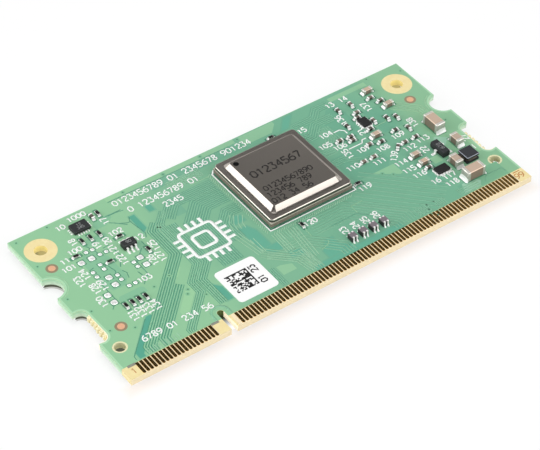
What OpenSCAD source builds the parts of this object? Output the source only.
// System on module: a small green circuit board with a gold edge connector, a lidded
// processor, memory chips on the underside and the chip parts of its power supply.
// Millimetres, +Z up. The module lies on its underside chips, with the connector edge
// towards -Y, and the origin is at the middle of its base.

/* [Board] */
// Length of the board along the connector edge
board_l = 67.6; // [66:0.1:90]
// Width of the board from the connector edge to the back edge
board_w = 31; // [30:0.25:60]
// Thickness of the board
board_t = 1; // [0.8:0.05:1.6]
// Radius of the half-round latch notch in each side
notch_r = 2; // [1:0.1:2.4]
// Distance of the latch notches from the connector edge
notch_y = 20; // [18.5:0.1:20.5]
// Distance of the guide recess in each side from the connector edge
recess_y = 7.8; // [7:0.1:9]
// Length of the guide recesses
recess_l = 6.6; // [4:0.1:8]
// Depth of the guide recesses
recess_depth = 1.75; // [1.2:0.05:2]
// Radius in the inner corners of the guide recesses
recess_r = 1; // [0.5:0.05:1.2]
// Diameter of the corner screw holes
corner_hole_d = 1.9; // [1.2:0.1:3]
// Distance of the corner screw holes from the sides
corner_hole_x = 2.94; // [2:0.02:4]
// Distance of the corner screw holes from the back edge
corner_hole_y = 3.88; // [2.5:0.02:5]
// Diameter of the locating holes near the connector edge
lower_hole_d = 1.6; // [1:0.1:2]
// Distance of the locating holes from the sides
lower_hole_x = 1.96; // [1.5:0.02:2.5]
// Distance of the locating holes from the connector edge
lower_hole_y = 5.74; // [4:0.02:6.2]

/* [Edge connector] */
// Spacing of the contacts
contact_pitch = 0.6; // [0.5:0.01:0.62]
// Width of one contact
contact_w = 0.45; // [0.25:0.01:0.48]
// Length of one contact
contact_l = 2.15; // [1.5:0.05:2.4]
// Thickness of the plated copper
contact_t = 0.04; // [0.02:0.005:0.08]
// Bare margin between the contacts and the board's edge
contact_margin = 0.08; // [0.05:0.01:0.5]
// Contacts on each face left of the key slot
contacts_left = 20; // [10:1:22]
// Contacts on each face right of the key slot
contacts_right = 80; // [40:1:80]
// Distance across the key slot between the nearest contacts
key_gap = 4.2; // [3:0.1:4.6]
// Distance of the contact row's middle to the left of the board's middle
row_offset = 0.1; // [0:0.02:0.3]
// Width of the key slot
key_w = 1; // [0.8:0.05:1.4]
// Depth of the key slot
key_depth = 3.8; // [3:0.1:4.5]
// Distance of the key slot to the right of the gap's middle
key_offset = 0.48; // [0:0.02:0.7]

/* [Processor] */
// Side of the square processor package
cpu_size = 14; // [11:0.5:16]
// Distance of the processor to the right of the board's middle
cpu_x = 4.25; // [3:0.05:5]
// Distance of the processor from the connector edge
cpu_y = 19.45; // [19:0.05:19.9]
// Thickness of the processor's carrier
carrier_t = 0.7; // [0.4:0.05:1]
// Height of the solder balls under the processor
cpu_ball_h = 0.3; // [0.2:0.02:0.4]
// Spacing of the solder balls under the processor
cpu_ball_pitch = 0.8; // [0.65:0.05:1]
// Thickness of the seal between the carrier and the lid
seal_t = 0.08; // [0.05:0.01:0.15]
// Width of the seal
seal_w = 1; // [0.6:0.05:1.1]
// Distance of the seal from the lid's outer edge
seal_inset = 0.25; // [0.1:0.05:0.5]
// Thickness of the lid's sheet metal
lid_t = 0.5; // [0.3:0.05:0.6]
// Width of the lid's flat flange
flange_w = 0.95; // [0.7:0.05:1.5]
// Corner radius of the lid's flange
flange_r = 0.6; // [0.2:0.05:1.2]
// Rise of the lid's middle above its flange
lid_rise = 0.75; // [0.5:0.05:1]
// Run of the slope round the lid's middle
lid_slope = 0.63; // [0.3:0.01:0.8]
// Corner radius at the foot of the slope
lid_foot_r = 0.95; // [0.85:0.05:1.4]
// Diameter of the first-pin dimple in the lid
lid_mark_d = 0.6; // [0.3:0.05:0.8]
// Depth of the first-pin dimple
lid_mark_depth = 0.1; // [0.05:0.01:0.2]
// Distance of the first-pin dimple from the two edges of the lid's flat top
lid_mark_inset = 0.72; // [0.5:0.01:1]
// Length of the silicon die
die_l = 8; // [5:0.1:9]
// Width of the silicon die
die_w = 7; // [5:0.1:9]
// Thickness of the silicon die
die_t = 0.7; // [0.4:0.05:0.72]

/* [Memory] */
// Side of the square memory package
memory_size = 12; // [9:0.5:13]
// Length of the flash package
flash_l = 11.5; // [9:0.5:12]
// Width of the flash package
flash_w = 13; // [9:0.5:13]
// Height of the memory and flash packages without their balls
memory_t = 0.75; // [0.5:0.05:0.9]
// Height of the solder balls under memory and flash
memory_ball_h = 0.25; // [0.15:0.01:0.3]
// Spacing of the solder balls under memory and flash
memory_ball_pitch = 1; // [0.8:0.1:1.2]
// Distance of the memory package to the right of the board's middle
memory_x = 16.2; // [15.9:0.1:20]
// Distance of the flash package to the left of the board's middle
flash_x = 18.3; // [15:0.1:20]
// Distance of both packages from the connector edge
memory_y = 17; // [14:0.1:20]

/* [Chip parts] */
// Length of the small chip parts
small_l = 1; // [0.6:0.02:1.05]
// Width of the small chip parts
small_w = 0.5; // [0.3:0.02:0.55]
// Height of the small capacitors
small_h = 0.5; // [0.3:0.02:0.6]
// Height of the resistors
resistor_h = 0.35; // [0.25:0.01:0.45]
// Thickness of the dark film on the resistors
film_t = 0.02; // [0.01:0.005:0.03]
// Length of the medium capacitors
medium_l = 1.6; // [1.2:0.05:1.7]
// Width and height of the medium capacitors
medium_w = 0.8; // [0.6:0.02:0.85]
// Length of the large capacitors
large_l = 2; // [1.6:0.05:2.2]
// Width and height of the large capacitors
large_w = 1.25; // [0.9:0.05:1.35]
// Length of the bulk capacitors
bulk_l = 3.2; // [2.5:0.05:3.3]
// Width and height of the bulk capacitors
bulk_w = 1.65; // [1.2:0.05:1.8]
// Length of the metal end caps as a share of a part's length
cap_share = 0.26; // [0.15:0.01:0.35]
// Length of the bulk capacitors' end caps as a share of their length
bulk_cap_share = 0.17; // [0.12:0.01:0.3]
// Thickness of the metal end caps
cap_t = 0.03; // [0.02:0.005:0.04]
// Thickness of the tinned lands
land_t = 0.05; // [0.02:0.01:0.08]
// Diameter of the copper sighting marks
fiducial_d = 1.05; // [0.8:0.05:1.2]

/* [Label] */
// Length of the paper label
label_l = 6.45; // [5:0.05:8]
// Width of the paper label
label_w = 6.6; // [5:0.05:7]
// Thickness of the paper label
label_t = 0.08; // [0.05:0.01:0.15]
// Corner radius of the paper label
label_r = 0.6; // [0.2:0.05:1]

/* [Small chips] */
// Length of the level shifter
shifter_l = 2.6; // [2.4:0.05:2.8]
// Width of the level shifter
shifter_w = 1.8; // [1.6:0.05:2]
// Height of the level shifter
shifter_h = 0.55; // [0.4:0.05:0.8]
// Length of the power switch
switch_l = 1.4; // [1.2:0.05:1.6]
// Width of the power switch
switch_w = 1.8; // [1.6:0.05:2]
// Height of the power switch
switch_h = 0.55; // [0.4:0.05:0.8]
// Length of the step-down converter
converter_l = 2.1; // [1.8:0.05:2.2]
// Width of the step-down converter
converter_w = 1.35; // [1.2:0.05:1.45]
// Height of the step-down converter
converter_h = 0.6; // [0.4:0.05:0.8]
// Length of the reset chip
reset_l = 2; // [1.9:0.05:2.1]
// Width of the reset chip
reset_w = 1.25; // [1.1:0.05:1.3]
// Height of the reset chip
reset_h = 0.95; // [0.8:0.05:1.1]
// Length of the voltage regulator
regulator_l = 2.9; // [2.7:0.05:3]
// Width of the voltage regulator
regulator_w = 1.3; // [1.2:0.05:1.4]
// Height of the voltage regulator
regulator_h = 1.1; // [0.9:0.05:1.2]
// Gap under the leaded chips
chip_standoff = 0.1; // [0.05:0.01:0.15]
// Slope of the moulded sides of the leaded chips
mould_draft = 0.1; // [0:0.01:0.15]

/* [Inductors] */
// Side of the power inductor
inductor_size = 2.2; // [1.9:0.05:2.3]
// Height of the power inductor
inductor_h = 1.15; // [0.9:0.05:1.4]
// Thickness of the inductor's two end plates
inductor_plate_t = 0.3; // [0.2:0.02:0.35]
// Diameter of the inductor's post
inductor_post_d = 1; // [0.7:0.05:1.2]
// Setback of the inductor's winding behind the rims of its plates
inductor_coil_setback = 0.08; // [0.03:0.01:0.3]
// Length of one choke
choke_l = 1.25; // [1:0.05:1.4]
// Width of one choke
choke_w = 1.05; // [0.9:0.05:1.2]
// Height of one choke
choke_h = 0.9; // [0.7:0.05:1]
// Spacing of the chokes in their row
choke_pitch = 1.79; // [1.5:0.01:2]
// Number of chokes
choke_count = 4; // [1:1:5]
// Distance of the first choke to the right of the board's middle
choke_x = 5.25; // [4:0.05:7]
// Distance of the chokes from the connector edge
choke_y = 4.42; // [4:0.02:5]
// Width of one choke terminal
choke_band_w = 0.26; // [0.2:0.01:0.3]

/* [Crystal] */
// Length of the crystal's case
crystal_l = 3.2; // [2.5:0.1:4]
// Width of the crystal's case
crystal_w = 2.5; // [2:0.1:3]
// Height of the crystal's ceramic tray
crystal_tray_h = 0.45; // [0.3:0.05:0.5]
// Thickness of the crystal's metal lid
crystal_lid_t = 0.12; // [0.08:0.01:0.2]
// Distance of the crystal to the left of the board's middle
crystal_x = 6; // [4:0.1:7]
// Distance of the crystal from the connector edge
crystal_y = 22; // [20:0.1:24]

/* [Hidden] */
$fn = 48;

// Overlap that lets a cut run clear of a face
cut = 1;

// Levels: the module stands on the memory chips, so they set the height of the board
board_z = memory_ball_h + memory_t;
top_z = board_z + board_t;

// Contact row, measured from the middle of the board
left_span = (contacts_left - 1) * contact_pitch;
right_span = (contacts_right - 1) * contact_pitch;
row_l = left_span + key_gap + right_span;
row_x = -row_offset - row_l / 2;
gap_x = row_x + left_span + key_gap / 2;
contact_xs = concat(
    [for (i = [0 : contacts_left - 1]) row_x + i * contact_pitch],
    [for (i = [0 : contacts_right - 1]) gap_x + key_gap / 2 + i * contact_pitch]
);

// Processor levels, upwards from the board's top face
carrier_z = top_z + cpu_ball_h;
seal_z = carrier_z + carrier_t;
lid_z = seal_z + seal_t;
flange_z = lid_z + lid_t;
lid_top_z = flange_z + lid_rise;
lid_foot = cpu_size - 2 * flange_w;
lid_top = lid_foot - 2 * lid_slope;
lid_roof_z = lid_top_z - lid_t;
roof_cavity = lid_top - 2 * lid_t;

// Solder ball proportions
ball_bulge = 0.6;
ball_edge = 0.7;
ball_clear = 0.1;

// Places: distance from the left or right side, distance from the connector edge, turn
along_x = 0;
along_y = 90;
askew = 45;
function front(y) = y - board_w / 2;
function left(x, y, turn = along_x) = [x - board_l / 2, front(y), turn];
function right(x, y, turn = along_x) = [board_l / 2 - x, front(y), turn];
function middle(x, y, turn = along_x) = [x, front(y), turn];

cpu_place = middle(cpu_x, cpu_y);
cpu_right = cpu_x + cpu_size / 2;
cpu_front = cpu_y - cpu_size / 2;
cpu_back = cpu_y + cpu_size / 2;

resistor_places = [
    left(8.4, 25.25, along_y),
    left(9.75, 25.25, along_y),
    left(11.15, 25.25, along_y),
    left(13.15, 28.8, along_y),
    left(15, 18.8, along_y),
    left(6.65, 11.5, along_y),
    left(7.7, 11.5, along_y),
    left(8.75, 11.5, along_y),
    left(9.8, 11.5, along_y),
    left(6.15, 23.2),
    left(13.15, 23.2),
    left(9.4, 19.75),
    middle(cpu_x - 3.1, cpu_front - 1.85, along_y),
    middle(cpu_right + 1.35, cpu_front + 0.4),
    middle(cpu_x + 4.1, cpu_back + 1.45),
];

small_capacitor_places = [
    left(12.1, 28.6, along_y),
    right(13.95, 27, along_y),
    right(11.6, 27.1, along_y),
    right(14.95, 23.5, along_y),
    right(11.05, 22.3, along_y),
    right(9.05, 21.7, along_y),
    right(7.75, 21.1, along_y),
    right(7.8, 18.2, along_y),
    right(12, 25.15),
    right(12.6, 24.2),
    right(12.6, 21.1),
    right(17.85, 21.55),
    right(16, 21.4),
    right(16.2, 20.6),
    right(8.3, 26.65),
    right(7.45, 25.35),
    right(14.8, 18.5),
    right(13, 18),
    right(9.8, 18.85),
    right(17.75, 15.95),
    right(15.9, 16),
    right(10.3, 15.95),
    right(8.3, 16),
    right(10.9, 9.75),
    right(11.7, 15.75, askew),
];

medium_capacitor_places = [
    right(7.8, 28.1),
    right(7.1, 23.9),
    right(12.8, 19.5),
    right(10.9, 12.8),
    right(10.85, 10.9),
];

large_capacitor_places = [right(4.1, 11.8, along_y), right(7.1, 8.3, along_y)];
bulk_capacitor_places = [right(4.55, 16.4, along_y), right(6.65, 5)];

// Decoupling capacitors on the underside, in a grid below the processor
underside_columns = 6;
underside_rows = 4;
underside_pitch_x = 1.5;
underside_pitch_y = 2.2;
underside_places = [
    for (i = [0 : underside_columns - 1])
        for (j = [0 : underside_rows - 1])
            middle(
                cpu_x + (i - (underside_columns - 1) / 2) * underside_pitch_x,
                cpu_y + (j - (underside_rows - 1) / 2) * underside_pitch_y,
                along_y
            ),
];

// Empty lands for parts that this version of the module goes without
small_land = 0.56;
small_land_gap = 1;
medium_land = 0.9;
medium_land_gap = 1.6;
small_land_places = [
    left(8.25, 23.2),
    left(9.6, 21.8),
    left(8.05, 19.6, along_y),
    left(6.45, 18.85, along_y),
    left(8.9, 16.6, along_y),
    left(9.6, 14.5),
    left(12.05, 17.4, along_y),
];
medium_land_places = [
    left(6.95, 21.8),
    left(7.7, 16.55, along_y),
    left(5.75, 13.8, along_y),
    left(13.25, 17.4, along_y),
];

fiducial_places = [left(2.35, 23.25), left(4.1, 8.8), right(3.55, 23.15)];
label_place = middle(-11.2, 6.45);
shifter_place = left(9.6, 27.75);
reset_place = left(13.2, 20.95);
switch_place = right(12.45, 22.65);
converter_place = right(9.7, 8.25);
regulator_place = right(7.3, 11.65, along_y);
inductor_place = right(4.8, 8.3);
choke_places = [for (i = [0 : choke_count - 1]) middle(choke_x + i * choke_pitch, choke_y, along_y)];
memory_place = middle(memory_x, memory_y);
flash_place = middle(-flash_x, memory_y);
crystal_place = middle(-crystal_x, crystal_y);

// Leads of the leaded chips
lead_t = 0.14;
lead_foot = 0.3;
reset_lead_w = 0.3;
reset_lead_pitch = 0.65;
reset_lead_reach = 0.6;
regulator_lead_w = 0.42;
regulator_lead_pitch = 1.9;
regulator_lead_reach = 0.6;

// Pads of the leadless chips
pad_t = 0.06;
pad_w = 0.2;
pad_pitch = 0.4;
pad_out = 0.12;
pad_in = 0.35;
shifter_long_pads = 5;
shifter_short_pads = 3;
switch_long_pads = 4;
switch_short_pads = 1;
converter_long_pads = 4;

// Terminals of the chokes and the power inductor, its winding, and the corners of its plates
choke_band_gap = 0.56;
choke_band_l = 0.24;
inductor_coil_d = inductor_size - 2 * inductor_coil_setback;
inductor_terminal_w = 0.5;
plate_chamfer = 0.05;

// Ceramic rim left bare round the crystal's lid
crystal_rim = 0.25;

module at_top(places) {
    for (p = places) {
        translate([p[0], p[1], top_z]) rotate(p[2]) children();
    }
}

module at_bottom(places) {
    for (p = places) {
        translate([p[0], p[1], board_z]) mirror([0, 0, 1]) rotate(p[2]) children();
    }
}

module block(l, w, h) {
    translate([-l / 2, -w / 2, 0]) cube([l, w, h]);
}

module rounded_rectangle(l, w, r) {
    square([l - 2 * r, w], center = true);
    square([l, w - 2 * r], center = true);
    for (x = [-1, 1]) {
        for (y = [-1, 1]) {
            translate([x * (l / 2 - r), y * (w / 2 - r)]) circle(r);
        }
    }
}

// Board outline

module guide_recess() {
    translate([0, recess_y + recess_l / 2]) {
        square([2 * (recess_depth - recess_r), recess_l], center = true);
        square([2 * recess_depth, recess_l - 2 * recess_r], center = true);
        for (x = [-1, 1]) {
            for (y = [-1, 1]) {
                translate([x * (recess_depth - recess_r), y * (recess_l / 2 - recess_r)]) circle(recess_r);
            }
        }
    }
}

module key_slot() {
    translate([gap_x + key_offset, 0]) {
        translate([-key_w / 2, -cut]) square([key_w, key_depth - key_w / 2 + cut]);
        translate([0, key_depth - key_w / 2]) circle(d = key_w);
    }
}

module side_cuts() {
    translate([0, notch_y]) circle(notch_r);
    guide_recess();
}

module board_outline() {
    difference() {
        translate([-board_l / 2, 0]) square([board_l, board_w]);
        key_slot();
        for (side = [-1, 1]) {
            translate([side * board_l / 2, 0]) side_cuts();
            translate([side * (board_l / 2 - corner_hole_x), board_w - corner_hole_y])
                circle(d = corner_hole_d);
            translate([side * (board_l / 2 - lower_hole_x), lower_hole_y])
                circle(d = lower_hole_d);
        }
    }
}

module board() {
    color("mediumseagreen")
        translate([0, -board_w / 2, board_z])
            linear_extrude(board_t) board_outline();
}

// Contact: a strip with a rounded outer end
module contact() {
    linear_extrude(contact_t) {
        translate([-contact_w / 2, contact_w / 2]) square([contact_w, contact_l - contact_w / 2]);
        translate([0, contact_w / 2]) circle(d = contact_w);
    }
}

module contact_row() {
    for (x = contact_xs) {
        translate([x, contact_margin - board_w / 2, 0]) contact();
    }
}

module contacts_top() {
    color("goldenrod") translate([0, 0, top_z]) contact_row();
}

module contacts_bottom() {
    color("goldenrod") translate([0, 0, board_z - contact_t]) contact_row();
}

module sighting_marks() {
    color("chocolate") at_top(fiducial_places) cylinder(d = fiducial_d, h = contact_t);
}

module land_pair(size, gap) {
    for (side = [-1, 1]) {
        translate([side * gap / 2, 0, 0]) block(size, size, land_t);
    }
}

module spare_lands() {
    color("whitesmoke") {
        at_top(small_land_places) land_pair(small_land, small_land_gap);
        at_top(medium_land_places) land_pair(medium_land, medium_land_gap);
    }
}

module paper_label() {
    color("white") at_top([label_place]) linear_extrude(label_t) rounded_rectangle(label_l, label_w, label_r);
}

// Solder ball pressed flat where it meets the board and the package
module solder_ball(h, pitch) {
    r = min(ball_bulge * h, pitch / 2 - ball_clear);
    rotate_extrude() {
        polygon([[0, 0], [ball_edge * r, 0], [r, h / 2], [ball_edge * r, h], [0, h]]);
    }
}

module ball_grid(l, w, pitch, h) {
    nx = floor(l / pitch) - 1;
    ny = floor(w / pitch) - 1;
    for (i = [0 : nx - 1]) {
        for (j = [0 : ny - 1]) {
            translate([(i - (nx - 1) / 2) * pitch, (j - (ny - 1) / 2) * pitch, 0]) solder_ball(h, pitch);
        }
    }
}

// Processor

module processor_balls() {
    color("silver") at_top([cpu_place]) ball_grid(cpu_size, cpu_size, cpu_ball_pitch, cpu_ball_h);
}

module processor_carrier() {
    color("darkolivegreen")
        at_top([cpu_place])
            translate([0, 0, cpu_ball_h]) block(cpu_size, cpu_size, carrier_t);
}

module processor_die() {
    color("dimgray") at_top([cpu_place]) translate([0, 0, seal_z - top_z]) block(die_l, die_w, die_t);
}

module thermal_layer() {
    paste_z = seal_z + die_t;
    color("lightgray")
        at_top([cpu_place])
            translate([0, 0, paste_z - top_z]) block(die_l, die_w, lid_roof_z - paste_z);
}

module lid_seal() {
    outer = cpu_size - 2 * seal_inset;
    inner = outer - 2 * seal_w;
    color("black") at_top([cpu_place]) translate([0, 0, seal_z - top_z]) linear_extrude(seal_t) {
        difference() {
            square(outer, center = true);
            square(inner, center = true);
        }
    }
}

// Square frustum with round corners: two sloped ridges that cross, and four cones
module lid_crown() {
    straight = lid_foot / 2 - lid_foot_r;
    for (turn = [0, 90]) {
        rotate(turn) rotate([90, 0, 0]) translate([0, 0, -straight]) linear_extrude(2 * straight) {
            polygon([
                [-lid_foot / 2, 0],
                [lid_foot / 2, 0],
                [lid_top / 2, lid_rise],
                [-lid_top / 2, lid_rise],
            ]);
        }
    }
    for (x = [-1, 1]) {
        for (y = [-1, 1]) {
            translate([x * straight, y * straight, 0])
                cylinder(r1 = lid_foot_r, r2 = lid_foot_r - lid_slope, h = lid_rise);
        }
    }
}

module processor_lid() {
    mark = lid_top / 2 - lid_mark_inset;
    color("gray") at_top([cpu_place]) difference() {
        union() {
            translate([0, 0, lid_z - top_z])
                linear_extrude(lid_t) rounded_rectangle(cpu_size, cpu_size, flange_r);
            translate([0, 0, flange_z - top_z]) lid_crown();
        }
        translate([0, 0, lid_z - top_z - cut]) block(roof_cavity, roof_cavity, lid_roof_z - lid_z + cut);
        translate([-mark, mark, lid_top_z - top_z - lid_mark_depth]) cylinder(d = lid_mark_d, h = cut);
    }
}

// Memory and flash on the underside

module memory_balls() {
    color("silver")
        at_bottom([memory_place])
            ball_grid(memory_size, memory_size, memory_ball_pitch, memory_ball_h);
}

module memory_package() {
    color("black")
        at_bottom([memory_place])
            translate([0, 0, memory_ball_h]) block(memory_size, memory_size, memory_t);
}

module flash_balls() {
    color("silver") at_bottom([flash_place]) ball_grid(flash_l, flash_w, memory_ball_pitch, memory_ball_h);
}

module flash_package() {
    color("black")
        at_bottom([flash_place])
            translate([0, 0, memory_ball_h]) block(flash_l, flash_w, memory_t);
}

// Chip parts: a body whose two ends sit in metal caps

module chip_core(l, w, h) {
    translate([0, 0, cap_t]) block(l - 2 * cap_t, w - 2 * cap_t, h - 2 * cap_t);
}

module chip_caps(l, w, h, share = cap_share) {
    band = share * l;
    for (side = [-1, 1]) {
        difference() {
            translate([side * (l - band) / 2, 0, 0]) block(band, w, h);
            chip_core(l, w, h);
        }
    }
}

module resistor_bodies() {
    color("whitesmoke") at_top(resistor_places) chip_core(small_l, small_w, resistor_h);
}

module resistor_films() {
    color("black")
        at_top(resistor_places)
            translate([0, 0, resistor_h - cap_t])
                block((1 - 2 * cap_share) * small_l, small_w - 2 * cap_t, film_t);
}

module resistor_caps() {
    color("silver") at_top(resistor_places) chip_caps(small_l, small_w, resistor_h);
}

module small_capacitor_bodies() {
    color("rosybrown") at_top(small_capacitor_places) chip_core(small_l, small_w, small_h);
}

module small_capacitor_caps() {
    color("silver") at_top(small_capacitor_places) chip_caps(small_l, small_w, small_h);
}

module medium_capacitor_bodies() {
    color("tan") at_top(medium_capacitor_places) chip_core(medium_l, medium_w, medium_w);
}

module medium_capacitor_caps() {
    color("silver") at_top(medium_capacitor_places) chip_caps(medium_l, medium_w, medium_w);
}

module large_capacitor_bodies() {
    color("tan") at_top(large_capacitor_places) chip_core(large_l, large_w, large_w);
}

module large_capacitor_caps() {
    color("silver") at_top(large_capacitor_places) chip_caps(large_l, large_w, large_w);
}

module bulk_capacitor_bodies() {
    color("rosybrown") at_top(bulk_capacitor_places) chip_core(bulk_l, bulk_w, bulk_w);
}

module bulk_capacitor_caps() {
    color("silver") at_top(bulk_capacitor_places) chip_caps(bulk_l, bulk_w, bulk_w, bulk_cap_share);
}

module underside_capacitor_bodies() {
    color("rosybrown") at_bottom(underside_places) chip_core(small_l, small_w, small_h);
}

module underside_capacitor_caps() {
    color("silver") at_bottom(underside_places) chip_caps(small_l, small_w, small_h);
}

// Chokes: a ferrite block with two terminals on its front and two on its back

module choke_core() {
    translate([0, 0, cap_t]) block(choke_l - 2 * cap_t, choke_w, choke_h - 2 * cap_t);
}

module choke_bands() {
    for (end = [-1, 1]) {
        for (side = [-1, 1]) {
            translate([end * (choke_l - choke_band_l) / 2, side * choke_band_gap / 2, 0])
                block(choke_band_l, choke_band_w, choke_h);
        }
    }
}

module choke_bodies() {
    color("dimgray") at_top(choke_places) choke_core();
}

module choke_terminals() {
    color("silver") at_top(choke_places) difference() {
        choke_bands();
        choke_core();
    }
}

// Power inductor: a ferrite spool with a winding between its two end plates

module inductor_plate() {
    s = inductor_size / 2;
    c = s - plate_chamfer;
    linear_extrude(inductor_plate_t) {
        polygon([[-s, -c], [-c, -s], [c, -s], [s, -c], [s, c], [c, s], [-c, s], [-s, c]]);
    }
}

module inductor_core() {
    color("dimgray") at_top([inductor_place]) {
        translate([0, 0, land_t]) inductor_plate();
        translate([0, 0, land_t]) cylinder(d = inductor_post_d, h = inductor_h - land_t);
        translate([0, 0, inductor_h - inductor_plate_t]) inductor_plate();
    }
}

module inductor_winding() {
    z = land_t + inductor_plate_t;
    color("saddlebrown") at_top([inductor_place]) difference() {
        translate([0, 0, z]) cylinder(d = inductor_coil_d, h = inductor_h - inductor_plate_t - z);
        cylinder(d = inductor_post_d, h = inductor_h);
    }
}

module inductor_terminals() {
    x = (inductor_size - inductor_terminal_w) / 2;
    color("silver") at_top([inductor_place]) {
        for (side = [-1, 1]) {
            translate([side * x, 0, 0]) block(inductor_terminal_w, inductor_size - 2 * plate_chamfer, land_t);
        }
    }
}

// Leadless chips: a moulded block that sits on its pads

module pad_row(count, span) {
    for (i = [0 : count - 1]) {
        for (side = [-1, 1]) {
            translate([(i - (count - 1) / 2) * pad_pitch, side * (span / 2 + (pad_out - pad_in) / 2), 0])
                block(pad_w, pad_out + pad_in, pad_t);
        }
    }
}

module leadless_body(l, w, h) {
    translate([0, 0, pad_t]) block(l, w, h - pad_t);
}

module shifter_body() {
    color("black") at_top([shifter_place]) leadless_body(shifter_l, shifter_w, shifter_h);
}

module shifter_pads() {
    color("silver") at_top([shifter_place]) {
        pad_row(shifter_long_pads, shifter_w);
        rotate(90) pad_row(shifter_short_pads, shifter_l);
    }
}

module switch_body() {
    color("black") at_top([switch_place]) leadless_body(switch_l, switch_w, switch_h);
}

module switch_pads() {
    color("silver") at_top([switch_place]) {
        rotate(90) pad_row(switch_long_pads, switch_l);
        pad_row(switch_short_pads, switch_w);
    }
}

module converter_body() {
    color("black") at_top([converter_place]) leadless_body(converter_l, converter_w, converter_h);
}

module converter_pads() {
    color("silver") at_top([converter_place]) pad_row(converter_long_pads, converter_w);
}

// Leaded chips: a block with drafted long sides, and bent leads along them

module leaded_body(l, w, h) {
    waist = (h + chip_standoff) / 2;
    rotate([90, 0, 90]) translate([0, 0, -l / 2]) linear_extrude(l) {
        polygon([
            [-w / 2 + mould_draft, chip_standoff],
            [w / 2 - mould_draft, chip_standoff],
            [w / 2, waist - lead_t / 2],
            [w / 2, waist + lead_t / 2],
            [w / 2 - mould_draft, h],
            [-w / 2 + mould_draft, h],
            [-w / 2, waist + lead_t / 2],
            [-w / 2, waist - lead_t / 2],
        ]);
    }
}

// Lead from the body's side at half height down to a foot on the board
module gull_lead(w, body_w, h, reach) {
    shoulder = (h + chip_standoff) / 2;
    root = body_w / 2;
    toe = root + reach;
    heel = toe - lead_foot;
    rotate([90, 0, 90]) translate([0, 0, -w / 2]) linear_extrude(w) {
        polygon([
            [root, shoulder - lead_t / 2],
            [heel - lead_t, shoulder - lead_t / 2],
            [heel - lead_t, 0],
            [toe, 0],
            [toe, lead_t],
            [heel, lead_t],
            [heel, shoulder + lead_t / 2],
            [root, shoulder + lead_t / 2],
        ]);
    }
}

module regulator_body() {
    color("black") at_top([regulator_place]) leaded_body(regulator_l, regulator_w, regulator_h);
}

module regulator_leads() {
    color("silver") at_top([regulator_place]) {
        gull_lead(regulator_lead_w, regulator_w, regulator_h, regulator_lead_reach);
        for (side = [-1, 1]) {
            translate([side * regulator_lead_pitch / 2, 0, 0])
                rotate(180) gull_lead(regulator_lead_w, regulator_w, regulator_h, regulator_lead_reach);
        }
    }
}

module reset_chip_body() {
    color("black") at_top([reset_place]) leaded_body(reset_l, reset_w, reset_h);
}

module reset_chip_leads() {
    color("silver") at_top([reset_place]) {
        for (i = [-1 : 1]) {
            for (turn = [0, 180]) {
                translate([i * reset_lead_pitch, 0, 0])
                    rotate(turn) gull_lead(reset_lead_w, reset_w, reset_h, reset_lead_reach);
            }
        }
    }
}

// Crystal on the underside

module crystal_tray() {
    color("tan") at_bottom([crystal_place]) block(crystal_l, crystal_w, crystal_tray_h);
}

module crystal_lid() {
    color("silver")
        at_bottom([crystal_place])
            translate([0, 0, crystal_tray_h])
                block(crystal_l - 2 * crystal_rim, crystal_w - 2 * crystal_rim, crystal_lid_t);
}

board();
contacts_top();
contacts_bottom();
sighting_marks();
spare_lands();
paper_label();
processor_balls();
processor_carrier();
processor_die();
thermal_layer();
lid_seal();
processor_lid();
memory_balls();
memory_package();
flash_balls();
flash_package();
resistor_bodies();
resistor_films();
resistor_caps();
small_capacitor_bodies();
small_capacitor_caps();
medium_capacitor_bodies();
medium_capacitor_caps();
large_capacitor_bodies();
large_capacitor_caps();
bulk_capacitor_bodies();
bulk_capacitor_caps();
underside_capacitor_bodies();
underside_capacitor_caps();
choke_bodies();
choke_terminals();
inductor_core();
inductor_winding();
inductor_terminals();
converter_body();
converter_pads();
regulator_body();
regulator_leads();
reset_chip_body();
reset_chip_leads();
shifter_body();
shifter_pads();
switch_body();
switch_pads();
crystal_tray();
crystal_lid();
